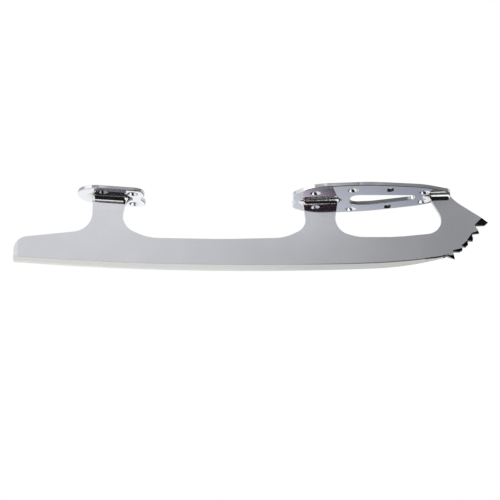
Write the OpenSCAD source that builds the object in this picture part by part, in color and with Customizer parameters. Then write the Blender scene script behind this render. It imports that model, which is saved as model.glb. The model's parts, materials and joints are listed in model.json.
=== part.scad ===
// Figure skate blade: a steel runner whose three stanchions are tenoned and brazed into a sole plate
// and a heel plate. +X points to the toe, +Y to the left side and +Z up, with the ice level.
// The origin is on the top face of the sole plate, over the ball stanchion.

/* [Runner] */
// Thickness of the runner
runner_t = 4; // [3.6:0.1:4.6]
// Height of the sole seat above the ice
stand_h = 51.9; // [50:0.1:60]
// Distance from the ball stanchion back to the point that touches the ice
balance_back = 47.5; // [40:0.5:55]
// Radius of the rocker along the main part of the edge
rocker_r = 2000; // [1800:10:2500]
// Distance from the ball stanchion to the start of the front rocker
spin_start = 36; // [30:1:42]
// Radius of the front rocker
spin_r = 215; // [190:1:260]
// Radius of the hollow ground along the bottom, between the two edges
hollow_r = 11.1; // [9.5:0.1:19]
// Height of the ground relief on both sides of the edge
relief_h = 3.3; // [2:0.1:5]
// Depth of the ground relief on each side
relief_depth = 0.1; // [0.05:0.01:0.2]
// Radius of the relief's upper line over the front rocker
relief_front_r = 410; // [350:5:600]

/* [Tail and web] */
// Distance from the ball stanchion back to the end of the tail
tail_back = 207; // [195:0.5:220]
// Height of the tail's upper corner above the ice
tail_h = 22.6; // [21:0.1:26]
// Rise of the tail's top edge towards the heel stanchion, in degrees
tail_slope = 6; // [2:0.1:8]
// Radius of the tail's upper corner
tail_r = 9.5; // [4:0.5:12]
// Height of the web at its lowest point
web_h = 21.45; // [18:0.1:24]
// Distance from the ball stanchion back to the web's lowest point
web_low_back = 65; // [60:1:75]
// Radius of the web's top edge at its lowest point
web_r = 300; // [100:10:500]
// Height of the web at the feet of the heel and ball stanchions
foot_h = 22.4; // [20:0.1:24]

/* [Heel stanchion] */
// Distance from the ball stanchion back to the middle of the heel stanchion
heel_back = 142.8; // [135:0.1:150]
// Length of the heel stanchion under its plate
heel_l = 22.9; // [20:0.1:28]
// Lean of the heel stanchion's front edge, in degrees
heel_lean = 12; // [5:0.1:16]
// Radius behind the heel stanchion
heel_rear_r = 13.5; // [10:0.1:18]
// Radius in front of the heel stanchion
heel_front_r = 13; // [6:0.1:14]
// Slope of the ramp in front of the heel stanchion, in degrees
heel_ramp = 26; // [20:0.1:32]
// Distance from the heel stanchion's front edge to the foot of that ramp
heel_foot = 14.5; // [14:0.1:22]
// Radius at the foot of that ramp
heel_foot_r = 36; // [20:1:44]

/* [Ball stanchion] */
// Length of the ball stanchion under its plate, behind the origin
ball_rear = 11.3; // [9:0.1:13]
// Length of the ball stanchion under its plate, ahead of the origin
ball_front = 12.5; // [9:0.1:13]
// Lean of the ball stanchion's rear edge, in degrees
ball_rear_lean = 7.4; // [4:0.1:12]
// Lean of the ball stanchion's front edge, in degrees
ball_front_lean = 8.5; // [4:0.1:14]
// Radius behind the ball stanchion
ball_rear_r = 9.5; // [6:0.1:10]
// Slope of the ramp behind the ball stanchion, in degrees
ball_rear_ramp = 27; // [20:0.1:32]
// Distance from the ball stanchion's rear edge to the foot of that ramp
ball_rear_foot = 12.2; // [11:0.1:18]
// Radius in front of the ball stanchion
ball_front_r = 12; // [8:0.1:15]
// Slope of the ramp in front of the ball stanchion, in degrees
ball_front_ramp = 17.5; // [12:0.1:20]
// Distance from the ball stanchion's front edge to the foot of that ramp
ball_front_foot = 13.2; // [13:0.1:18]
// Radius at the feet of the ball stanchion's ramps
ball_foot_r = 30; // [15:1:34]

/* [Toe window and toe] */
// Height of the runner under the toe window
window_h = 22.9; // [20:0.1:25]
// Distance from the ball stanchion to where the window's lower edge starts to rise
window_rise_at = 52; // [45:0.5:58]
// Slope of that rise, in degrees
window_slope = 6; // [3:0.1:9]
// Radius at the start of that rise
window_rise_r = 100; // [40:5:140]
// Radius of the window's front end
window_front_r = 10; // [6:0.1:11]
// Distance from the ball stanchion to the toe stanchion's rear edge, under the plate
toe_rear = 74.1; // [70:0.1:77]
// Lean of the toe stanchion's rear edge, in degrees
toe_lean = 29.7; // [25:0.1:33]
// Distance from the ball stanchion to the toe stanchion's front edge, under the plate
toe_front = 88.4; // [84:0.1:88.6]
// Slope of the brow at the top of the toe's front edge, in degrees
brow_slope = 53.5; // [48:0.5:60]
// Slope of the toe's front edge down to the nose, in degrees
nose_slope = 33.6; // [30:0.1:36]
// Radius between the brow and the front edge
brow_r = 30; // [10:1:34]
// Distance from the ball stanchion to the tip of the nose
nose_x = 114.2; // [110:0.1:118]
// Height of the nose above the ice
nose_h = 33.7; // [32:0.1:36]
// Distance from the ball stanchion to the notch behind the drag pick
notch_x = 85.3; // [84.5:0.1:86.5]
// Height of that notch over the front rocker
notch_h = 0.45; // [0.3:0.05:0.8]
// Drop of the drag pick's tip below that notch
drag_drop = 2.5; // [1:0.05:2.8]

/* [Plates] */
// Thickness of the sole plate and the heel plate
plate_t = 2.6; // [2:0.1:3.2]
// Upward pitch of the sole plate towards the toe, in degrees
sole_pitch = 2.4; // [1:0.1:2.5]
// Distance from the origin back to the sole plate's rear end
sole_rear = 18.4; // [17:0.1:24]
// Distance from the origin to the sole plate's front end
sole_front = 88.7; // [88.6:0.1:96]
// Width across the corners of the sole plate's rear end
sole_rear_w = 26; // [22:0.1:30]
// Distance from the origin back to the sole plate's shoulders
sole_shoulder_back = 5; // [2:0.1:8]
// Width across the sole plate's shoulders
sole_shoulder_w = 53.8; // [46:0.1:56]
// Distance from the origin to where the sole plate starts to taper
sole_taper_at = 34; // [28:0.1:40]
// Width of the sole plate where it starts to taper
sole_w = 53.4; // [50:0.1:62]
// Distance from the origin to where the taper steepens
sole_nose_at = 70.5; // [66:0.1:76]
// Width of the sole plate where the taper steepens
sole_nose_w = 35.8; // [30:0.1:40]
// Width across the corners of the sole plate's front end
sole_front_w = 13.5; // [13:0.1:18]
// Radius of the corners of the sole plate's rear end
sole_rear_r = 8; // [5:0.5:9]
// Radius of the sole plate's shoulders
sole_shoulder_r = 22; // [12:1:24]
// Radius where the sole plate starts to taper
sole_taper_r = 80; // [40:5:90]
// Radius where the taper steepens
sole_nose_r = 40; // [20:1:45]
// Radius of the corners of the sole plate's front end
sole_front_r = 5; // [3:0.5:6]
// Share of the sole plate's width that lies on its right side
sole_right_share = 0.53; // [0.48:0.01:0.55]
// Height of the heel seat above the sole seat, in the middle of the heel stanchion
heel_rise = 2.7; // [0:0.1:8]
// Pitch of the heel plate, in degrees, negative where its front end is the lower one
heel_pitch = -4.3; // [-6:0.1:0]
// Width of the heel plate
heel_w = 33.2; // [30:0.1:44]
// Distance from the heel stanchion's middle back to the heel plate's rear end
heel_plate_rear = 21.8; // [20:0.1:30]
// Distance from the heel stanchion's middle to the heel plate's front end
heel_plate_front = 24.1; // [23:0.1:30]
// Depth of the hollow in the heel plate's front end
heel_notch = 3; // [1:0.1:4]
// Depth of the hollow in the sole plate's rear end
sole_notch = 1.3; // [0.5:0.1:2.5]
// Half width of both hollows
notch_half_w = 6; // [5:0.1:7]
// Radius at the bottom of both hollows
notch_r = 6; // [4:0.5:8]
// Radius at both sides of the hollows
notch_lip_r = 4; // [2:0.5:5]
// Radius of the heel plate's rear corners
heel_rear_round = 16.6; // [10:0.1:16.8]
// Radius of the heel plate's front corners
heel_front_round = 7; // [4:0.5:8]

/* [Sole plate window] */
// Distance from the origin to the window's rear end
slot_rear = 20.9; // [19:0.1:24]
// Distance from the origin to the window's front end
slot_front = 64.5; // [60:0.1:67]
// Half width of the window's rear end on the right side
slot_right = 9.5; // [7:0.1:10.5]
// Half width of the window's rear end on the left side
slot_left = 10.7; // [6:0.1:11]
// Half width of the window's front end
slot_tip = 4; // [3:0.1:5]
// Length of the straight edge on the window's left side
slot_straight = 15; // [12:0.1:20]
// Radius of the window's rear corner on the right side
slot_right_r = 5.5; // [3:0.5:6]
// Radius of the window's rear corner on the left side
slot_left_r = 6; // [3:0.5:7]
// Radius of the window's bend on the left side
slot_bend_r = 30; // [10:1:35]
// Radius of the window's front corners
slot_tip_r = 2.5; // [1.5:0.1:2.8]

/* [Screw holes] */
// Diameter of the screw holes
hole_d = 4.4; // [3.5:0.1:5]
// Diameter of the countersinks in the undersides
sink_d = 7.4; // [6:0.1:8]
// Distance from the origin to the sole plate's rear pair of screw holes, negative behind it
rear_screws_at = -3.2; // [-5:0.1:0]
// Distance of those holes from the centre line
rear_screws_side = 16; // [14:0.1:18]
// Distance from the origin to the sole plate's middle pair of screw holes
mid_screws_at = 22; // [18:0.1:28]
// Distance of those holes from the centre line
mid_screws_side = 19; // [17:0.1:20.5]
// Distance from the origin to the sole plate's front pair of screw holes
front_screws_at = 71; // [69:0.1:73]
// Distance of those holes from the centre line
front_screws_side = 9.1; // [8:0.1:9.8]
// Distance from the origin to the two slots for trial mounting
trial_at = 47.4; // [42:0.1:52]
// Distance of those slots' middles from the centre line
trial_side = 17; // [15:0.1:17.5]
// Width of the two slots for trial mounting
trial_w = 4.5; // [3.5:0.1:5]
// Length of the two slots for trial mounting, across the plate
trial_l = 8; // [6:0.1:9]
// Spacing of the heel plate's four holes along both sides of their square
heel_hole_spacing = 20.5; // [18:0.1:22]
// Distance from the heel stanchion's middle to the middle of that square
heel_holes_at = 6.2; // [5:0.1:8]

/* [Tenons and braze] */
// Length of a tenon
tenon_l = 6; // [4:0.1:7]
// Distance of a tenon's top below the top face of its plate
tenon_drop = 0.2; // [0.1:0.05:0.4]
// Clearance round a tenon in its slot
tenon_clear = 0.1; // [0.05:0.01:0.2]
// Radius of the braze fillets at the heel stanchion
heel_braze_r = 4.2; // [2:0.1:4.3]
// Radius of the braze fillets at the ball stanchion
ball_braze_r = 3; // [2:0.1:4.3]
// Radius of the braze fillets at the toe stanchion
toe_braze_r = 3.7; // [2:0.1:3.7]
// Angle at which a braze fillet meets the plate and the stanchion, in degrees
braze_angle = 17; // [0:1:25]
// Thickness of a braze fillet at its rim
braze_rim = 0.15; // [0.1:0.01:0.3]

/* [Hidden] */
$fn = 256;
chrome = "silver";
polished = "gainsboro";
braze_metal = "lightgray";
over = 1;          // how far a cut runs past the face it opens
arc_step = 6;      // degrees between the points of an outline's arcs
grind_stock = 1.5; // steel below the ice line that the hollow grinding takes off
stock_lead = 6;    // how far behind the notch that steel ends
rear_flat = 0.2;   // least half width of the flat between the heel plate's rear corners
half_t = runner_t / 2;
edge_half = half_t - relief_depth;

// Sole plate's screw holes on one side
sole_screws = [
    [rear_screws_at, rear_screws_side],
    [mid_screws_at, mid_screws_side],
    [front_screws_at, front_screws_side]
];

// Toe pick teeth from the nose down to the drag pick, as [distance ahead of the origin, height over the ice]
teeth = [
    [111.9, 31.6], [105, 31.6],
    [107.9, 26.1], [102.7, 25.6],
    [103.7, 22.2], [103.4, 20.4], [99.6, 20.8],
    [100.2, 17.8], [98.3, 16], [95.7, 16.9],
    [96.2, 13.9], [94.2, 12.8], [89.5, 13]
];
drag_x = 91; // distance of the drag pick's tip ahead of the origin

// Bevels on both sides of the teeth: start and end of a bevel's line, its angle and its run past that end
bevels = [
    [[105, 31.7], [109.5, 36.3], 16, 3],
    [[102.8, 25.8], [107, 27.3], 35, 1],
    [[99.6, 21], [102.6, 25.3], 20, 0.2],
    [[95.7, 17.1], [99.6, 20.5], 20, 0.2],
    [[89.6, 13.5], [95.7, 15], 25, 0.2],
    [[85.4, 9.95], [90, 10.05], 35, 2]
];

function ice(h) = h - stand_h;
function unit(v) = v / norm(v);
function cross2(a, b) = a[0] * b[1] - a[1] * b[0];
// Crossing of the line through p at angle a with the line through q at angle b
function meet(p, a, q, b) =
    let (d = [cos(a), sin(a)], e = [cos(b), sin(b)])
    p + d * cross2(q - p, e) / cross2(d, e);

// Outline through corners [x, y, radius], with an arc at each corner that has a radius
function rounded(path) = [
    for (i = [0 : len(path) - 1])
        let (
            n = len(path),
            p = [path[i][0], path[i][1]],
            a = unit([path[(i + n - 1) % n][0], path[(i + n - 1) % n][1]] - p),
            b = unit([path[(i + 1) % n][0], path[(i + 1) % n][1]] - p),
            half = acos(max(-1, min(1, a * b))) / 2,
            r = path[i][2],
            centre = p + unit(a + b) * r / sin(half),
            t0 = p + a * r / tan(half) - centre,
            turn = (180 - 2 * half) * (cross2(a, b) > 0 ? -1 : 1),
            steps = ceil(abs(turn) / arc_step)
        )
        for (k = [0 : r > 0 ? steps : 0])
            let (w = turn * k / max(1, steps))
            r > 0 ? centre + [t0[0] * cos(w) - t0[1] * sin(w), t0[0] * sin(w) + t0[1] * cos(w)] : p
];

// Centres of the two rockers, which touch at spin_start, and the edge's height over the ice
rocker_c = [-balance_back, rocker_r];
spin_turn = asin((spin_start + balance_back) / rocker_r);
tail_turn = asin((tail_back - balance_back + over) / rocker_r);
spin_c = rocker_c + (rocker_r - spin_r) * [sin(spin_turn), -cos(spin_turn)];
function rocker_z(x) = spin_c[1] - sqrt(pow(spin_r, 2) - pow(x - spin_c[0], 2));

function under_sole(x) = x * tan(sole_pitch) - plate_t / cos(sole_pitch);
function under_heel(x) = heel_rise + (x + heel_back) * tan(heel_pitch) - plate_t / cos(heel_pitch);

// Corners of the runner's outline
heel_a = [-heel_back - heel_l / 2, under_heel(-heel_back - heel_l / 2)];
heel_b = [-heel_back + heel_l / 2, under_heel(-heel_back + heel_l / 2)];
ball_a = [-ball_rear, under_sole(-ball_rear)];
ball_b = [ball_front, under_sole(ball_front)];
toe_a = [toe_rear, under_sole(toe_rear)];
nose = [nose_x, ice(nose_h)];
// Where the toe's front edge would meet the plate. Under a high nose the stanchion ends there and has no brow
nose_top = meet(nose, 180 - nose_slope, [0, under_sole(0)], sole_pitch);
has_brow = nose_top[0] < toe_front;
toe_top = max(toe_front, nose_top[0]);
toe_b = [toe_top, under_sole(toe_top)];
tail_corner = [-tail_back, ice(tail_h)];
heel_root = meet(tail_corner, tail_slope, heel_a, 90);
heel_toe = [heel_b[0] + heel_foot, ice(foot_h)];
heel_neck = meet(heel_b, 270 - heel_lean, heel_toe, 180 - heel_ramp);
ball_tail = [ball_a[0] - ball_rear_foot, ice(foot_h)];
ball_rear_neck = meet(ball_a, 270 + ball_rear_lean, ball_tail, ball_rear_ramp);
ball_toe = [ball_b[0] + ball_front_foot, ice(window_h)];
ball_front_neck = meet(ball_b, 270 - ball_front_lean, ball_toe, 180 - ball_front_ramp);
window_rise = [window_rise_at, ice(window_h)];
window_end = meet(window_rise, window_slope, toe_a, 270 + toe_lean);
brow = meet(toe_b, -brow_slope, nose, 180 - nose_slope);
brow_fit = min(brow_r, norm(toe_b - brow) / tan((brow_slope - nose_slope) / 2));
toe_brow = has_brow ? [[brow[0], brow[1], brow_fit]] : [];
notch = [notch_x, ice(rocker_z(notch_x) + notch_h)];
drag_tip = [drag_x, notch[1] - drag_drop];
stock_front = [notch_x - stock_lead, ice(-grind_stock)];

function corner(p, r = 0) = [p[0], p[1], r];

runner_path = concat(
    [
        [-tail_back, ice(-grind_stock), 0],
        corner(tail_corner, tail_r),
        corner(heel_root, heel_rear_r),
        corner(heel_a),
        corner(heel_b),
        corner(heel_neck, heel_front_r),
        corner(heel_toe, heel_foot_r),
        [-web_low_back, ice(web_h), web_r],
        corner(ball_tail, ball_foot_r),
        corner(ball_rear_neck, ball_rear_r),
        corner(ball_a),
        corner(ball_b),
        corner(ball_front_neck, ball_front_r),
        corner(ball_toe, ball_foot_r),
        corner(window_rise, window_rise_r),
        corner(window_end, window_front_r),
        corner(toe_a),
        corner(toe_b)
    ],
    toe_brow,
    [corner(nose)],
    [for (t = teeth) [t[0], ice(t[1]), 0]],
    [corner(drag_tip), corner(notch), corner(stock_front)]
);

module along_y(width) {
    translate([0, width / 2, 0])
        rotate([90, 0, 0])
            linear_extrude(width)
                children();
}

module runner_blank() {
    along_y(runner_t) polygon(rounded(runner_path));
}

// Frame of a plate: X along it, Z along its normal, origin on its top face
module sole_frame() {
    rotate([0, -sole_pitch, 0]) children();
}

module heel_frame() {
    translate([-heel_back, 0, heel_rise])
        rotate([0, -heel_pitch, 0])
            children();
}

// Distance along a plate of the point under it at x
function sole_u(x) = x / cos(sole_pitch) - plate_t * tan(sole_pitch);
function heel_u(x) = (x + heel_back) / cos(heel_pitch) - plate_t * tan(heel_pitch);

// Places of the tenons along each plate
heel_tenons = [-heel_l / 4, heel_l / 4];
ball_tenons = [-ball_rear / 2, ball_front / 2];
toe_tenons = [(toe_rear + toe_front) / 2];

module tenons(places, clear = 0, top = 0) {
    for (x = places)
        translate([x - tenon_l / 2 - clear, -half_t - clear, -plate_t - over])
            cube([tenon_l + 2 * clear, runner_t + 2 * clear, plate_t + over + top]);
}

// Grinding wheel's path: a tube whose section is the hollow's circle, along an arc of the edge
module hollow_cut(centre, r, from, to) {
    tube_at = r + sqrt(pow(hollow_r, 2) - pow(edge_half, 2));
    translate([centre[0], 0, centre[1] - stand_h])
        rotate([90, 0, 0])
            rotate([0, 0, from - 90])
                rotate_extrude(angle = to - from)
                    translate([tube_at, 0])
                        circle(hollow_r);
}

// Side view of the ground relief, up to its line
module relief_area() {
    line_c = rocker_c + [0, relief_h];
    front_c = line_c + (rocker_r - relief_front_r) * [sin(spin_turn), -cos(spin_turn)];
    difference() {
        translate([-tail_back - over, ice(-grind_stock - over)])
            square([tail_back + notch_x + over, nose_h]);
        intersection() {
            translate([line_c[0], ice(line_c[1])]) circle(rocker_r);
            translate([-tail_back - 2 * over, ice(-grind_stock - 2 * over)])
                square([tail_back + spin_start + 2 * over, 2 * nose_h]);
        }
        intersection() {
            translate([front_c[0], ice(front_c[1])]) circle(relief_front_r);
            translate([spin_start - over, ice(-grind_stock - 2 * over)])
                square([notch_x, 2 * nose_h]);
        }
    }
}

module both_sides() {
    children();
    mirror([0, 1, 0]) children();
}

module tooth_bevel(from, to, angle, past) {
    line = to - from;
    translate([from[0], half_t, ice(from[1])])
        rotate([0, -atan2(line[1], line[0]), 0])
            rotate([-90 - angle, 0, 0])
                cube([norm(line) + past, 3 * runner_t, runner_t]);
}

// Runner plate with its hollow ground along the main rocker, then along the front rocker
module ground_runner() {
    difference() {
        difference() {
            runner_blank();
            hollow_cut(rocker_c, rocker_r, -tail_turn, spin_turn + asin(over / rocker_r));
        }
        hollow_cut(spin_c, spin_r, spin_turn, asin((notch_x - spin_c[0]) / spin_r));
    }
}

module runner() {
    color(polished)
        difference() {
            union() {
                ground_runner();
                heel_frame() translate([0, 0, -tenon_drop]) tenons(heel_tenons);
                sole_frame() translate([0, 0, -tenon_drop]) tenons(concat(ball_tenons, toe_tenons));
            }
            both_sides()
                translate([0, edge_half + runner_t / 2, 0]) along_y(runner_t) relief_area();
            both_sides()
                for (b = bevels) tooth_bevel(b[0], b[1], b[2], b[3]);
        }
}

// Sole plate's outline: its right side from the rear, then its left side from the front
function sole_side(share) = [
    [-sole_rear, share * sole_rear_w, sole_rear_r],
    [-sole_shoulder_back, share * sole_shoulder_w, sole_shoulder_r],
    [sole_taper_at, share * sole_w, sole_taper_r],
    [sole_nose_at, share * sole_nose_w, sole_nose_r],
    [sole_front, share * sole_front_w, sole_front_r]
];
function backwards(list) = [for (i = [len(list) - 1 : -1 : 0]) list[i]];
// Hollow in a plate's end, from its side first (-1 right, 1 left) to the other side
function end_notch(end, inner, first) = [
    [end, first * notch_half_w, notch_lip_r],
    [inner, 0, notch_r],
    [end, -first * notch_half_w, notch_lip_r]
];

sole_path = concat(
    sole_side(-sole_right_share),
    backwards(sole_side(1 - sole_right_share)),
    end_notch(-sole_rear, sole_notch - sole_rear, 1)
);

slot_path = [
    [slot_rear, -slot_right, slot_right_r],
    [slot_front, -slot_tip, slot_tip_r],
    [slot_front, slot_tip, slot_tip_r],
    [slot_rear + slot_straight, slot_left, slot_bend_r],
    [slot_rear, slot_left, slot_left_r]
];

module sole_outline() {
    polygon(rounded(sole_path));
}

module screw_hole() {
    translate([0, 0, -plate_t - over])
        cylinder(h = plate_t + 2 * over, d = hole_d);
    translate([0, 0, -plate_t - over])
        cylinder(h = (sink_d - hole_d) / 2 + over, d1 = sink_d + 2 * over, d2 = hole_d);
}

module trial_slot() {
    between = trial_l - trial_w;
    translate([0, 0, -plate_t - over]) {
        for (y = [-between / 2, between / 2])
            translate([0, y, 0]) cylinder(h = plate_t + 2 * over, d = trial_w);
        translate([-trial_w / 2, -between / 2, 0])
            cube([trial_w, between, plate_t + 2 * over]);
    }
}

module sole_plate() {
    color(chrome)
        sole_frame()
            difference() {
                translate([0, 0, -plate_t])
                    linear_extrude(plate_t)
                        difference() {
                            sole_outline();
                            polygon(rounded(slot_path));
                        }
                both_sides() {
                    for (p = sole_screws) translate([p[0], p[1], 0]) screw_hole();
                    translate([trial_at, trial_side, 0]) trial_slot();
                }
                tenons(concat(ball_tenons, toe_tenons), tenon_clear, over);
            }
}

heel_rear_fit = min(heel_rear_round, heel_w / 2 - rear_flat);
heel_path = concat(
    [
        [-heel_plate_rear, -heel_w / 2, heel_rear_fit],
        [heel_plate_front, -heel_w / 2, heel_front_round]
    ],
    end_notch(heel_plate_front, heel_plate_front - heel_notch, -1),
    [
        [heel_plate_front, heel_w / 2, heel_front_round],
        [-heel_plate_rear, heel_w / 2, heel_rear_fit]
    ]
);

module heel_plate() {
    color(chrome)
        heel_frame()
            difference() {
                translate([0, 0, -plate_t])
                    linear_extrude(plate_t)
                        polygon(rounded(heel_path));
                both_sides()
                    for (side = [-0.5, 0.5])
                        translate([heel_holes_at + side * heel_hole_spacing, heel_hole_spacing / 2, 0])
                            screw_hole();
                tenons(heel_tenons, tenon_clear, over);
            }
}

// Section of the braze under a plate, from the middle of the stanchion outwards
module braze_section(r) {
    half_arc = 45 - braze_angle;
    arc_r = r / (sqrt(2) * sin(half_arc));
    off = r / 2 + arc_r * cos(half_arc) / sqrt(2) + braze_rim;
    difference() {
        translate([0, -r]) square([half_t + r, r]);
        translate([half_t + off, -off]) circle(arc_r);
    }
}

// Left side of the braze that flares out round a stanchion's top, in its plate's frame
module braze_flare(from, to, r) {
    straight = to - from - runner_t;
    translate([from + half_t, 0, -plate_t]) {
        rotate([90, 0, 90]) linear_extrude(straight) braze_section(r);
        rotate([0, 0, 90]) rotate_extrude(angle = 90) braze_section(r);
        translate([straight, 0, 0]) rotate_extrude(angle = 90) braze_section(r);
    }
}

// Top of a stanchion between its rear and front edges, reaching into the plate
module stanchion_top(rear_root, rear_top, front_top, front_root) {
    rear_end = rear_top + over * unit(rear_top - rear_root);
    front_end = front_top + over * unit(front_top - front_root);
    along_y(runner_t) polygon([rear_root, rear_end, front_end, front_root]);
}

module heel_braze(side) {
    color(braze_metal)
        scale([1, side, 1])
            difference() {
                heel_frame() braze_flare(heel_u(heel_a[0]), heel_u(heel_b[0]), heel_braze_r);
                stanchion_top(heel_root, heel_a, heel_b, heel_neck);
            }
}

module ball_braze(side) {
    color(braze_metal)
        scale([1, side, 1])
            difference() {
                sole_frame() braze_flare(sole_u(ball_a[0]), sole_u(ball_b[0]), ball_braze_r);
                stanchion_top(ball_rear_neck, ball_a, ball_b, ball_front_neck);
            }
}

// The toe's braze ends at the edge of the sole plate
module toe_braze(side) {
    color(braze_metal)
        difference() {
            sole_frame()
                intersection() {
                    scale([1, side, 1])
                        braze_flare(sole_u(toe_a[0]), sole_u(toe_b[0]), toe_braze_r);
                    translate([0, 0, -plate_t - 2 * toe_braze_r])
                        linear_extrude(plate_t + 2 * toe_braze_r)
                            sole_outline();
                }
            stanchion_top(window_end, toe_a, toe_b, has_brow ? brow : nose);
        }
}

runner();
sole_plate();
heel_plate();
heel_braze(1);  // heel_braze_left
heel_braze(-1);  // heel_braze_right
ball_braze(1);  // ball_braze_left
ball_braze(-1);  // ball_braze_right
toe_braze(1);  // toe_braze_left
toe_braze(-1);  // toe_braze_right
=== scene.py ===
import json
import math

import bpy
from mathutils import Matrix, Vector


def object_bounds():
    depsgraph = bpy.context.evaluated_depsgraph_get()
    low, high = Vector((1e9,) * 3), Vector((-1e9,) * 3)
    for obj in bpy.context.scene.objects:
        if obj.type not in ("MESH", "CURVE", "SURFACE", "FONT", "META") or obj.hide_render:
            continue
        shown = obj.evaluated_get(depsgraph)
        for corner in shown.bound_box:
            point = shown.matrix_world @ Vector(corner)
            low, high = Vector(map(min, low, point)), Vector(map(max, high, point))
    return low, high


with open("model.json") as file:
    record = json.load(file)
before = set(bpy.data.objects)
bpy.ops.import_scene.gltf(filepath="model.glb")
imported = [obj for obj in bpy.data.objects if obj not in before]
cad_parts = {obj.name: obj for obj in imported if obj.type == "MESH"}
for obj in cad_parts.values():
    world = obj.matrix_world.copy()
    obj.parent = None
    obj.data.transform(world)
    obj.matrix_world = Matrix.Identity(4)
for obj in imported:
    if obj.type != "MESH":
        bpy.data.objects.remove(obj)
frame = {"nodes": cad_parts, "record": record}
cad_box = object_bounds()
nodes = frame["nodes"]
mounts = {m["name"]: m for m in frame["record"]["mounts"]}
MM = 0.001
WHITE = (1, 1, 1)


class Graph:
    """Short calls for building a node tree. An input takes a socket or a constant."""

    def __init__(self, tree):
        self.tree = tree
        tree.nodes.clear()

    def add(self, kind, **props):
        n = self.tree.nodes.new(kind)
        for k, v in props.items():
            setattr(n, k, v)
        return n

    def feed(self, socket, value):
        if isinstance(value, bpy.types.NodeSocket):
            self.tree.links.new(value, socket)
        else:
            socket.default_value = value

    def math(self, op, *args):
        n = self.add("ShaderNodeMath", operation=op)
        for s, a in zip(n.inputs, args):
            self.feed(s, a)
        return n.outputs[0]

    def plus(self, a, b):
        return self.math("ADD", a, b)

    def minus(self, a, b):
        return self.math("SUBTRACT", a, b)

    def times(self, a, b):
        return self.math("MULTIPLY", a, b)

    def most(self, a, b):
        return self.math("MAXIMUM", a, b)

    def below(self, a, limit):
        return self.math("LESS_THAN", a, limit)

    def above(self, a, limit):
        return self.math("GREATER_THAN", a, limit)

    def near(self, a, middle, reach):
        return self.math("COMPARE", a, middle, reach)

    def size(self, a):
        return self.math("ABSOLUTE", a)

    def opposite(self, mask):
        return self.math("SUBTRACT", 1.0, mask)

    def vec(self, op, *args):
        n = self.add("ShaderNodeVectorMath", operation=op)
        for s, a in zip(n.inputs, args):
            self.feed(s, a)
        return n.outputs["Value" if op == "DISTANCE" else "Vector"]

    def scaled(self, v, factors):
        """A place or a colour with each of its three numbers multiplied."""
        return self.vec("MULTIPLY", v, factors)

    def split(self, v):
        n = self.add("ShaderNodeSeparateXYZ")
        self.feed(n.inputs[0], v)
        return n.outputs

    def place(self):
        """The point's place on the part, in metres."""
        return self.add("ShaderNodeTexCoord").outputs["Object"]

    def facing(self):
        """The face's own direction, as X, Y and Z."""
        return self.split(self.add("ShaderNodeNewGeometry").outputs["True Normal"])

    def step(self, v, low, high):
        """0 below low, 1 above high, smooth between."""
        n = self.add("ShaderNodeMapRange", interpolation_type="SMOOTHSTEP")
        self.feed(n.inputs["Value"], v)
        n.inputs["From Min"].default_value = low
        n.inputs["From Max"].default_value = high
        return n.outputs["Result"]

    def band(self, v, low, low_end, high_start, high):
        """1 between low_end and high_start, 0 outside low and high."""
        return self.minus(self.step(v, low, low_end), self.step(v, high_start, high))

    def span(self, v, low, high, to_low=0.0, to_high=1.0):
        n = self.add("ShaderNodeMapRange")
        self.feed(n.inputs["Value"], v)
        for name, x in (("From Min", low), ("From Max", high), ("To Min", to_low), ("To Max", to_high)):
            n.inputs[name].default_value = x
        return n.outputs["Result"]

    def ramp(self, v, stops):
        """Colours or greys at places, given in order."""
        low, high = stops[0][0], stops[-1][0]
        n = self.add("ShaderNodeValToRGB")
        self.feed(n.inputs[0], self.span(v, low, high))
        e = n.color_ramp.elements
        while len(e) > 1:
            e.remove(e[-1])
        for i, (place, colour) in enumerate(stops):
            p = (place - low) / (high - low)
            if i:
                e.new(p)
            e[i].position = p
            c = (colour,) * 3 if isinstance(colour, (int, float)) else colour
            e[i].color = (*c, 1)
        return n.outputs[0]

    def mix(self, f, a, b):
        n = self.add("ShaderNodeMix", data_type="RGBA")
        self.feed(n.inputs[0], f)
        self.feed(n.inputs[6], a if isinstance(a, bpy.types.NodeSocket) else (*a, 1))
        self.feed(n.inputs[7], b if isinstance(b, bpy.types.NodeSocket) else (*b, 1))
        return n.outputs[2]

    def noise(self, vector, scale, detail, rough):
        n = self.add("ShaderNodeTexNoise")
        self.feed(n.inputs["Vector"], vector)
        n.inputs["Scale"].default_value = scale
        n.inputs["Detail"].default_value = detail
        n.inputs["Roughness"].default_value = rough
        return n.outputs[0]

    def bump(self, height, strength, distance, normal=None):
        n = self.add("ShaderNodeBump")
        self.feed(n.inputs["Height"], height)
        n.inputs["Strength"].default_value = strength
        n.inputs["Distance"].default_value = distance
        if normal:
            self.feed(n.inputs["Normal"], normal)
        return n.outputs[0]


def material(name):
    m = bpy.data.materials.new(name)
    m.use_nodes = True
    g = Graph(m.node_tree)
    shader = g.add("ShaderNodeBsdfPrincipled")
    out = g.add("ShaderNodeOutputMaterial").inputs[0]
    g.feed(out, shader.outputs[0])
    return m, g, shader, out


# Where most values of a noise lie
NOISE = (0.3, 0.7)
NOISE_WIDE = (0.25, 0.75)

# Runner: the line of the ground relief lies above the ice, as in the solids. Its main arc is lowest at the
# balance point, and its front arc starts at the spin point.
ROCKER_R = 2.0
RELIEF_R = 0.410
BALANCE_X = -0.0475
SPIN_X = 0.036
ICE_Z = cad_box[0][2]
RELIEF_H = 0.0033
# How sharp that line is
LINE = (-0.00005, 0.00005)
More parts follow.
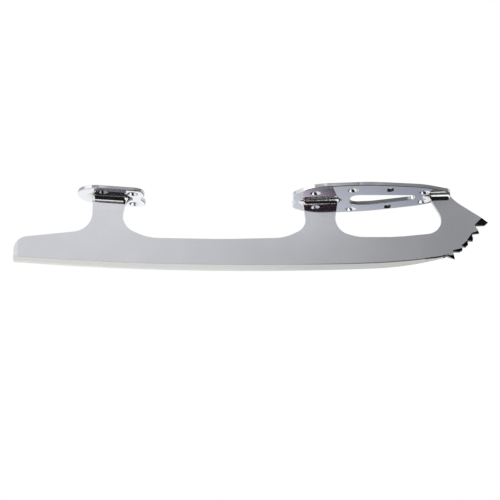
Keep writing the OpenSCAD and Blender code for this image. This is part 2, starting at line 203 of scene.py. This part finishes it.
# Shoulder between the plating and the ground strip: its width and slope, and what they gain towards the toe
SHOULDER_W = 0.0002
SHOULDER_SLOPE = 0.125
BALL_WIDENS_X = (-0.03, 0.03)
BALL_WIDENS = 3 * SHOULDER_W
TOE_WIDENS_X = (0.068, 0.080)
TOE_WIDENS = 1.2 * SHOULDER_W
TOE_STEEPENS_X = (0.069, 0.081)
TOE_STEEPENS = 5 * SHOULDER_SLOPE
TOE_RISES_X = (0.080, 0.085)
TOE_RISES = 1.2 * SHOULDER_W
# Ends of the ground strip and of the sharpened edge, and the rear end of the toe pick
STRIP_END_X = 0.0830
EDGE_END_X = 0.0868
TEETH_X = 0.0845
# Faces by their direction: the ground bottom, the undersides at the toe, which get painted shade, tooth
# bevels and the flanks among them
BOTTOM_UP = -0.6
TOE_SHADE_UP = -0.3
BEVEL_SIDE = 0.98
FLANK_SIDE = 0.5
# Colours of the chrome and the bare steel, each between two tones, and the painted shade of the toe's
# undersides and the tooth flanks
CHROME_TONES = (0.645, 0.655, 0.69), (0.675, 0.685, 0.72)
BARE_TONES = (0.80, 0.80, 0.775), (0.86, 0.86, 0.835)
BARE_DIMS_X = (-0.075, 0.01)
BARE_DIMS = (0.85, 0.85, 0.85)
TOE_SHADE = (0.07, 0.07, 0.075)
FLANK_SHADE = (0.25, 0.25, 0.26)
# The tail's end is painted lighter: a painted highlight
TAIL_X = cad_box[0][0]
TAIL_HIGHLIGHT_X = (TAIL_X + 2.4 * MM, TAIL_X + 3.4 * MM)
TAIL_HIGHLIGHT = (1.17, 1.17, 1.14)
# Satin faces scatter a part of the light, and the tops of two stanchions are buffed like the plates
SATIN = 0.7
SATIN_ROUGH = (0.055, 0.095)
BARE_METAL = 0.3
BARE_ROUGH = 0.36
BALL_BUFFED_Z = (-0.0165, -0.0135)
BALL_BUFFED_X = 0.03
HEEL_BUFFED_Z = (-0.0105, -0.0085)
HEEL_BUFFED_X = -0.08
GRAIN_STRETCH = (0.04, 1.0, 1.0)


def below_relief(g, co, x):
    """How far a point lies below the line of the ground relief."""
    turn = math.asin((SPIN_X - BALANCE_X) / ROCKER_R)
    main_c = Vector((BALANCE_X, 0, ICE_Z + RELIEF_H + ROCKER_R))
    front_c = main_c + (ROCKER_R - RELIEF_R) * Vector((math.sin(turn), 0, -math.cos(turn)))
    flat = g.scaled(co, (1, 0, 1))
    main = g.minus(g.vec("DISTANCE", flat, tuple(main_c)), ROCKER_R)
    front = g.minus(g.vec("DISTANCE", flat, tuple(front_c)), RELIEF_R)
    ahead = g.above(x, SPIN_X)
    under = g.plus(g.times(main, g.opposite(ahead)), g.times(front, ahead))
    return g.plus(under, g.times(g.step(x, *TOE_RISES_X), TOE_RISES))


def runner_steel():
    """Satin chrome, with mirror bevels and shoulders, above the bare ground strip, with painted shade at
    the toe and a painted highlight at the tail's end.
    """
    m, g, s, _ = material("satin_chrome")
    co = g.place()
    x, _, z = g.split(co)
    _, side, up = g.facing()
    across = g.size(side)

    under = below_relief(g, co, x)
    wide = g.plus(SHOULDER_W, g.times(g.step(x, *BALL_WIDENS_X), BALL_WIDENS))
    wide = g.plus(wide, g.times(g.step(x, *TOE_WIDENS_X), TOE_WIDENS))
    slope = g.plus(SHOULDER_SLOPE, g.times(g.step(x, *TOE_STEEPENS_X), TOE_STEEPENS))
    on_edge = g.below(x, EDGE_END_X)
    bottom = g.below(up, BOTTOM_UP)
    shoulder = g.times(g.step(under, *LINE), on_edge)
    ground = g.most(g.step(g.minus(under, wide), *LINE), bottom)
    ground = g.times(ground, g.below(x, STRIP_END_X))
    # Undersides and shoulder beyond the ground strip, which get painted shade
    toe_shade = g.times(g.most(g.below(up, TOE_SHADE_UP), shoulder), g.above(x, STRIP_END_X))
    bevel = g.times(g.above(x, TEETH_X), g.below(across, BEVEL_SIDE))
    flank = g.times(g.times(bevel, g.above(across, FLANK_SIDE)), g.opposite(toe_shade))

    grain = g.noise(g.scaled(co, GRAIN_STRETCH), scale=5200, detail=3.0, rough=0.6)
    haze = g.noise(co, scale=55, detail=3.0, rough=0.5)
    plating = g.mix(g.span(haze, *NOISE), *CHROME_TONES)
    # Painted shade on the toe's undersides
    plating = g.mix(toe_shade, plating, TOE_SHADE)
    # Painted shade on the tooth flanks
    plating = g.mix(flank, plating, FLANK_SHADE)
    # Painted highlight at the tail's end
    plating = g.mix(g.opposite(g.step(x, *TAIL_HIGHLIGHT_X)), plating, g.scaled(plating, TAIL_HIGHLIGHT))
    bare = g.mix(g.span(grain, *NOISE), *BARE_TONES)
    bare = g.mix(g.step(x, *BARE_DIMS_X), bare, g.scaled(bare, BARE_DIMS))
    g.feed(s.inputs["Base Color"], g.mix(ground, plating, bare))

    ball = g.times(g.step(z, *BALL_BUFFED_Z), g.near(x, 0.0, BALL_BUFFED_X))
    heel = g.times(g.step(z, *HEEL_BUFFED_Z), g.below(x, HEEL_BUFFED_X))
    buffed = g.most(g.most(bevel, shoulder), g.most(ball, heel))
    shine = g.times(g.span(buffed, 0, 1, SATIN, 1.0), g.opposite(ground))
    g.feed(s.inputs["Metallic"], g.plus(shine, g.times(ground, BARE_METAL)))
    satin = g.span(grain, *NOISE_WIDE, *SATIN_ROUGH)
    g.feed(s.inputs["Roughness"], g.plus(satin, g.times(ground, BARE_ROUGH)))

    # The shoulder's height falls by its slope across its width, and the grain lies over it
    fall = g.times(g.math("MINIMUM", g.most(under, 0.0), wide), on_edge)
    height = g.times(fall, g.times(slope, g.minus(bottom, 1.0)))
    sloped = g.bump(height, strength=1.0, distance=1.0)
    g.feed(s.inputs["Normal"], g.bump(grain, strength=0.05, distance=0.00001, normal=sloped))
    return m


# Plates: walls are the faces that point sideways
WALL_UP = (0.3, 0.6)
POLISH_TONES = (0.77, 0.78, 0.81), (0.81, 0.815, 0.84)
# Painted light and shade along the plates' walls, from the heel plate to the sole plate's front half
HEEL_WALL_SHADE = (0.46, 0.45, 0.47)
WALL_LIGHT_AND_SHADE = [
    (-0.147, 0.72), (-0.142, HEEL_WALL_SHADE), (-0.1262, HEEL_WALL_SHADE), (-0.1238, 1.0),
    (0.0005, 0.95), (0.003, 0.8), (0.0065, 0.82), (0.009, 1.05), (0.0165, 1.05), (0.0205, 1.2),
    (0.0255, 1.25), (0.028, 0.88), (0.034, 0.86), (0.039, 1.1), (0.045, 1.15), (0.050, 1.0)
]
# Punched walls of the window and the two slots, which are rougher, and darkened with painted shade
WINDOW_X = (0.0195, 0.0202, 0.0600, 0.0612)
WINDOW_SIDE = 0.0125
WALL_REACH = 0.6 * MM
PUNCHED_SHADE = (0.24, 0.245, 0.26)
SLOT_SHADE = (0.07, 0.07, 0.08)
PUNCHED_ROUGH = 0.25
# Painted shade on the rounded edge that faces down, outside a line along the right side, and round the toe
EDGE_SHADE_SLOPE = 0.2556
EDGE_SHADE_Y = 0.033
EDGE_SHADE_SIDE = -0.0225
EDGE_SHADE_TOE_X = 0.0755
EDGE_SHADE_DOWN = (0.2, 0.4, 0.9, 0.97)
EDGE_SHADE = (0.09, 0.09, 0.10)
# Painted shade in the countersink beside the heel's braze, which dims its glint
SINK_R = 4.2 * MM
SINK_UP = 0.95
SINK_SHADE = (0.32, 0.32, 0.33)
# Radius across the plates' faces, which hand polishing leaves slightly bowed
BOW_R = 0.305
PLATE_ROUGH = (0.045, 0.09)


def punched_slots(g, x, side):
    """The two slots for trial mounting and a little round them."""
    slot = mounts["sole_trial_slots"]
    dims = slot["dims"]
    along = g.near(x, slot["pos_m"][0], dims["hole_r_mm"] * MM + WALL_REACH)
    across = g.near(side, dims["spacing_y_mm"] / 2 * MM, dims["slot_length_mm"] / 2 * MM + WALL_REACH)
    return g.times(along, across)


def heel_countersink(g, co, up):
    """The rear right one of the heel plate's countersunk holes."""
    screws = mounts["heel_screws"]
    half = screws["dims"]["pcd_mm"] / 2 * MM * math.sqrt(0.5)
    middle = (screws["pos_m"][0] - half, -half, 0)
    inside = g.below(g.vec("DISTANCE", g.scaled(co, (1, 1, 0)), middle), SINK_R)
    return g.times(inside, g.below(g.size(up), SINK_UP))


def plate_chrome():
    """Mirror chrome, with rougher punched walls, and painted light and shade on walls, down-facing edges
    and a countersink.
    """
    m, g, s, _ = material("mirror_chrome")
    co = g.place()
    x, y, _ = g.split(co)
    _, _, up = g.facing()
    side = g.size(y)
    grain = g.noise(co, scale=900, detail=4.0, rough=0.55)
    haze = g.noise(co, scale=70, detail=2.0, rough=0.5)

    wall = g.opposite(g.step(g.size(up), *WALL_UP))
    window = g.times(g.band(x, *WINDOW_X), g.below(side, WINDOW_SIDE))
    slots = punched_slots(g, x, side)
    punched = g.times(wall, g.most(window, slots))
    polish = g.mix(g.span(haze, *NOISE), *POLISH_TONES)
    # Painted light and shade along the walls
    colour = g.mix(wall, polish, g.scaled(polish, g.ramp(x, WALL_LIGHT_AND_SHADE)))
    # Painted shade on the punched walls of the window and the slots
    colour = g.mix(punched, colour, PUNCHED_SHADE)
    colour = g.mix(g.times(wall, slots), colour, SLOT_SHADE)
    # Painted shade on down-facing rounded edges
    limit = g.most(g.minus(g.times(x, EDGE_SHADE_SLOPE), EDGE_SHADE_Y), EDGE_SHADE_SIDE)
    outer = g.most(g.below(y, limit), g.above(x, EDGE_SHADE_TOE_X))
    colour = g.mix(g.times(outer, g.band(g.times(up, -1.0), *EDGE_SHADE_DOWN)), colour, EDGE_SHADE)
    # Painted shade in one countersink
    colour = g.mix(heel_countersink(g, co, up), colour, g.scaled(colour, SINK_SHADE))
    g.feed(s.inputs["Base Color"], colour)

    s.inputs["Metallic"].default_value = 1.0
    fine = g.span(grain, *NOISE, *PLATE_ROUGH)
    g.feed(s.inputs["Roughness"], g.plus(fine, g.times(punched, PUNCHED_ROUGH)))
    bow = g.times(g.times(y, y), g.times(up, 0.5 / BOW_R))
    bowed = g.bump(bow, strength=1.0, distance=1.0)
    g.feed(s.inputs["Normal"], g.bump(haze, strength=0.04, distance=0.0002, normal=bowed))
    return m


BRAZE_TONES = (0.74, 0.74, 0.73), (0.80, 0.80, 0.80)
BRAZE_ROUGH = (0.05, 0.11)
RIPPLE_STRETCH = (1.0, 2.0, 2.0)


def braze_chrome():
    """Chrome over the slightly uneven braze."""
    m, g, s, _ = material("plated_braze")
    ripple = g.noise(g.scaled(g.place(), RIPPLE_STRETCH), scale=420, detail=2.0, rough=0.5)
    g.feed(s.inputs["Base Color"], g.mix(g.span(ripple, *NOISE), *BRAZE_TONES))
    s.inputs["Metallic"].default_value = 1.0
    g.feed(s.inputs["Roughness"], g.span(ripple, *NOISE, *BRAZE_ROUGH))
    g.feed(s.inputs["Normal"], g.bump(ripple, strength=0.12, distance=0.0002))
    return m


def geometry_group(name):
    t = bpy.data.node_groups.new(name, "GeometryNodeTree")
    for way in ("INPUT", "OUTPUT"):
        t.interface.new_socket("Geometry", in_out=way, socket_type="NodeSocketGeometry")
    g = Graph(t)
    return g, g.add("NodeGroupInput").outputs[0], g.add("NodeGroupOutput").inputs[0]


def smooth_group(name, limit):
    """Smooth shading except across edges sharper than the limit in degrees."""
    g, mesh_in, mesh_out = geometry_group(name)
    small = g.add("FunctionNodeCompare", operation="LESS_EQUAL")
    g.feed(small.inputs["A"], g.add("GeometryNodeInputMeshEdgeAngle").outputs[0])
    small.inputs["B"].default_value = math.radians(limit)
    faces = g.add("GeometryNodeSetShadeSmooth")
    edges = g.add("GeometryNodeSetShadeSmooth", domain="EDGE")
    g.feed(faces.inputs["Geometry"], mesh_in)
    g.feed(edges.inputs["Geometry"], faces.outputs[0])
    g.feed(edges.inputs["Shade Smooth"], small.outputs[0])
    g.feed(mesh_out, edges.outputs[0])
    return g.tree


# Broken edges of the plates: the outline of the underside, and all other sharp edges
ROUND = 1.1 * MM
EDGE = 0.3 * MM
ROUND_ANGLE = math.radians(60)
EDGE_ANGLE = math.radians(35)
BEVEL_STEPS = 4
# Depth under a seat that only edges of the underside lie below
UNDERSIDE = -1.2 * MM
# Edges of the underside that stay crisp, at the tenon slots and trial slots: rear and front end, and the
# range of distances from the blade's middle plane
SOLE_CRISP = [
    (-0.013, 0.014, -0.003, 0.003), (0.075, 0.0865, -0.003, 0.003), (0.044, 0.051, 0.012, 0.022)
]
HEEL_CRISP = [(-0.013, 0.013, -0.003, 0.003)]


def edge_group(name, seat, crisp):
    """Weights for broken edges: the underside's outline is rounded most, other sharp edges little."""
    g, mesh_in, mesh_out = geometry_group(name)
    angle = g.add("GeometryNodeInputMeshEdgeAngle").outputs[0]
    x, y, z = g.split(g.vec("SUBTRACT", g.add("GeometryNodeInputPosition").outputs[0], seat["pos_m"]))
    c, s = seat["axis"][2], -seat["axis"][0]
    along = g.plus(g.times(x, c), g.times(z, s))
    height = g.minus(g.times(z, c), g.times(x, s))
    side = g.size(y)
    under = g.below(height, UNDERSIDE)
    for rear, front, inner, outer in crisp:
        beside = g.near(side, (inner + outer) / 2, (outer - inner) / 2)
        inside = g.times(g.near(along, (rear + front) / 2, (front - rear) / 2), beside)
        under = g.times(under, g.opposite(inside))
    round_edge = g.times(under, g.above(angle, ROUND_ANGLE))
    sharp_edge = g.times(g.above(angle, EDGE_ANGLE), EDGE / ROUND)
    keep = g.add("GeometryNodeStoreNamedAttribute", data_type="FLOAT", domain="EDGE")
    keep.inputs["Name"].default_value = "bevel_weight_edge"
    g.feed(keep.inputs["Value"], g.most(round_edge, sharp_edge))
    g.feed(keep.inputs["Geometry"], mesh_in)
    g.feed(mesh_out, keep.outputs[0])
    return g.tree


WELD = 0.002 * MM
FLAT_ANGLE = math.radians(0.4)


def dress(name, mat, shading, edges=None):
    """The node's own solid with its material, smooth curves and, on a plate, broken edges."""
    o = nodes[name]
    o.data.materials.clear()
    o.data.materials.append(mat)
    weld = o.modifiers.new("weld", "WELD")
    weld.merge_threshold = WELD
    if edges:
        flat = o.modifiers.new("flat_faces", "DECIMATE")
        flat.decimate_type = "DISSOLVE"
        flat.angle_limit = FLAT_ANGLE
        o.modifiers.new("edge_weights", "NODES").node_group = edges
        bevel = o.modifiers.new("broken_edges", "BEVEL")
        bevel.width = ROUND
        bevel.segments = BEVEL_STEPS
        bevel.limit_method = "WEIGHT"
    o.modifiers.new("smooth", "NODES").node_group = shading
    even = o.modifiers.new("even_faces", "WEIGHTED_NORMAL")
    even.weight = 100
    even.keep_sharp = True


SMOOTH_LIMIT = 28
CRISP_LIMIT = 13
steel = runner_steel()
chrome = plate_chrome()
braze = braze_chrome()
smooth = smooth_group("smooth_faces", SMOOTH_LIMIT)
dress("runner", steel, smooth_group("crisp_faces", CRISP_LIMIT))
dress("sole_plate", chrome, smooth, edge_group("sole_edges", mounts["sole_seat"], SOLE_CRISP))
dress("heel_plate", chrome, smooth, edge_group("heel_edges", mounts["heel_seat"], HEEL_CRISP))
for n in nodes:
    if "braze" in n:
        dress(n, braze, smooth)


# Tent of light that reflections see. A direction is given by its X (along the blade), its Y, its Z (up) and
# its turn round the blade in degrees: 0 is level behind the part, 90 above, 180 in front and 270 below it.
SKY = [(0, 0.9), (20, 0.8), (50, 0.55), (80, 0.75), (100, 0.75), (125, 0.5), (160, 0.45)]
# Above the camera, by X, times a lift by Z
FRONT_ABOVE = [
    (-1.0, 1.4), (-0.71, 1.6), (-0.64, 0.46), (-0.22, 0.52), (-0.13, 0.845), (-0.055, 0.80), (0.0, 0.585),
    (0.025, 0.49), (0.055, 0.375), (0.08, 0.25), (0.105, 0.112), (0.114, 0.13), (0.122, 0.40), (0.2, 0.365),
    (0.42, 0.31), (0.5, 0.25), (0.7, 0.235), (1.0, 0.18)
]
FRONT_LIFT = [
    (0.295, 1.05), (0.303, 1.04), (0.311, 1.0), (0.316, 1.055), (0.322, 1.26), (0.331, 1.28), (0.336, 1.06)
]
BALL_LIFT = (1.52, 1.52, 1.56)
BALL_LIFT_X = (0.0, 0.025, 0.042, 0.06)
BALL_LIFT_Z = (0.313, 0.321, 0.331, 0.335)
FRONT_Y = (-0.1, 0.1)
FRONT_Z = (0.45, 0.65)
# In front and below, dark apart from what the undersides of the plates show
DARK = (0.012, 0.011, 0.012)
BALL_DIM = (0.055, 0.032, 0.043)
BALL_DIM_X = (0.050, 0.057, 0.0665, 0.069)
BALL_DIM_TURN = (184, 188, 196.5, 198)
PURPLE = [
    (0.040, (1.25, 1.1, 1.22)), (0.054, (1.15, 0.97, 1.1)), (0.060, (0.82, 0.68, 0.79)),
    (0.0655, (0.44, 0.36, 0.43)), (0.0685, 0.012)
]
PURPLE_X = (0.02, 0.035)
PURPLE_TURN = (197.6, 198.8, 208.5, 213)
HEEL_X = (-0.105, -0.090)
HEEL_DIM = (0.30, 0.26, 0.31)
HEEL_DIM_TURN = (201.0, 202.5, 205, 206.5)
HEEL_BRIGHT = (1.1, 1.08, 1.1)
HEEL_BRIGHT_TURN = (209, 212.5, 221, 225)
FRONT_BELOW_TURN = (174, 184)
# Straight below, by X, then black, which starts later towards the toe, and white beyond the heel's end
BELOW = [
    (-0.3, 0.01), (0.0, 0.02), (0.070, 0.05), (0.084, 0.09), (0.092, (0.21, 0.21, 0.19)),
    (0.097, (0.5, 0.49, 0.44)), (0.103, (0.9, 0.89, 0.82)), (0.125, 1.2), (0.14, 1.5)
]
BELOW_TURN = (253, 262)
BLACK = (0.04, 0.04, 0.04)
BLACK_TURN = (274, 284)
BLACK_LATER = 14.0
BLACK_LATER_X = (0.18, 0.32)
ASIDE_X = (-0.45, -0.25)
ASIDE_TURN = (178, 186, 318, 326)
# Behind and below, by X, and level behind
BACK_BELOW = [
    (-0.5, 1.1), (-0.12, (1.02, 1.04, 1.06)), (-0.09, 1.1), (0.03, (0.84, 0.86, 0.88)),
    (0.06, (0.57, 0.59, 0.65)), (0.1, (0.385, 0.40, 0.46)), (0.13, (0.30, 0.32, 0.37)),
    (0.5, (0.28, 0.29, 0.33))
]
BACK_BELOW_TURN = (314, 326)
BACK = (0.9, 0.9, 0.9)
BACK_TURN = (352, 359)
# What dull surfaces are lit by
ROOM = (0.92, 0.92, 0.92)


def front_above(g, dx, dz):
    lift = g.ramp(dz, FRONT_LIFT)
    at_ball = g.times(g.band(dx, *BALL_LIFT_X), g.band(dz, *BALL_LIFT_Z))
    lift = g.mix(at_ball, lift, g.scaled(lift, BALL_LIFT))
    return g.scaled(g.ramp(dx, FRONT_ABOVE), lift)


def front_below(g, dx, turn):
    at_ball = g.times(g.band(dx, *BALL_DIM_X), g.band(turn, *BALL_DIM_TURN))
    shade = g.mix(at_ball, DARK, BALL_DIM)
    purple = g.times(g.step(dx, *PURPLE_X), g.band(turn, *PURPLE_TURN))
    shade = g.mix(purple, shade, g.ramp(dx, PURPLE))
    heel = g.opposite(g.step(dx, *HEEL_X))
    shade = g.mix(g.times(heel, g.band(turn, *HEEL_DIM_TURN)), shade, HEEL_DIM)
    return g.mix(g.times(heel, g.band(turn, *HEEL_BRIGHT_TURN)), shade, HEEL_BRIGHT)


def studio():
    """White to the camera. Reflections see a soft tent, lighter on the heel's side, over a dark front."""
    world = bpy.data.worlds.new("studio")
    bpy.context.scene.world = world
    world.use_nodes = True
    g = Graph(world.node_tree)
    dx, dy, dz = g.split(g.add("ShaderNodeTexCoord").outputs["Generated"])
    turn = g.times(g.math("ARCTAN2", dz, dy), 180 / math.pi)
    turn = g.plus(turn, g.times(g.below(turn, 0.0), 360.0))
    front = g.times(g.opposite(g.step(dy, *FRONT_Y)), g.opposite(g.step(dz, *FRONT_Z)))
    tent = g.mix(front, g.ramp(turn, SKY), front_above(g, dx, dz))
    tent = g.mix(g.step(turn, *FRONT_BELOW_TURN), tent, front_below(g, dx, turn))
    tent = g.mix(g.step(turn, *BELOW_TURN), tent, g.ramp(dx, BELOW))
    later = g.minus(turn, g.times(g.step(dx, *BLACK_LATER_X), BLACK_LATER))
    tent = g.mix(g.step(later, *BLACK_TURN), tent, BLACK)
    aside = g.opposite(g.step(dx, *ASIDE_X))
    tent = g.mix(g.times(aside, g.band(turn, *ASIDE_TURN)), tent, WHITE)
    tent = g.mix(g.step(turn, *BACK_BELOW_TURN), tent, g.ramp(dx, BACK_BELOW))
    tent = g.mix(g.step(turn, *BACK_TURN), tent, BACK)
    ray = g.add("ShaderNodeLightPath").outputs
    seen = g.mix(ray["Is Glossy Ray"], ROOM, tent)
    seen = g.mix(ray["Is Camera Ray"], seen, WHITE)
    light = g.add("ShaderNodeBackground")
    g.feed(light.inputs["Color"], seen)
    g.feed(g.add("ShaderNodeOutputWorld").inputs[0], light.outputs[0])


FLOOR_SIZE = 12
FLOOR_Z = -1.6
FLOOR_COLOUR = (0.9, 0.9, 0.9, 1)


def pale_floor():
    """Floor well below the part, because the photograph looks up at it; white to the camera."""
    bpy.ops.mesh.primitive_plane_add(size=FLOOR_SIZE, location=(0, 0, FLOOR_Z))
    floor = bpy.context.object
    floor.name = "floor"
    m, g, s, out = material("pale_floor")
    s.inputs["Base Color"].default_value = FLOOR_COLOUR
    glow = g.add("ShaderNodeEmission")
    glow.inputs["Color"].default_value = (*WHITE, 1)
    blend = g.add("ShaderNodeMixShader")
    g.feed(blend.inputs[0], g.add("ShaderNodeLightPath").outputs["Is Camera Ray"])
    g.feed(blend.inputs[1], s.outputs[0])
    g.feed(blend.inputs[2], glow.outputs[0])
    g.feed(out, blend.outputs[0])
    floor.data.materials.append(m)
    floor.visible_glossy = False
    floor.visible_diffuse = False
    floor.visible_shadow = False


# The photograph's camera: the point in its middle, how far it looks up, its distance and its scale
TARGET = Vector((-47.3, 0, -37.6)) * MM
TILT = math.radians(18)
DISTANCE = 1.4
MM_PER_PIXEL = 0.676
PHOTO_PIXELS = 500
SENSOR_MM = 36
FAR = 50


def photo_camera():
    cam = bpy.data.cameras.new("camera")
    o = bpy.data.objects.new("camera", cam)
    bpy.context.scene.collection.objects.link(o)
    o.location = TARGET - DISTANCE * Vector((0, math.cos(TILT), math.sin(TILT)))
    o.rotation_euler = (math.radians(90) + TILT, 0, 0)
    cam.sensor_width = SENSOR_MM
    cam.lens = SENSOR_MM * DISTANCE / (PHOTO_PIXELS * MM_PER_PIXEL * MM)
    cam.clip_end = FAR
    bpy.context.scene.camera = o


studio()
pale_floor()
photo_camera()
bpy.context.scene.view_settings.view_transform = "Standard"
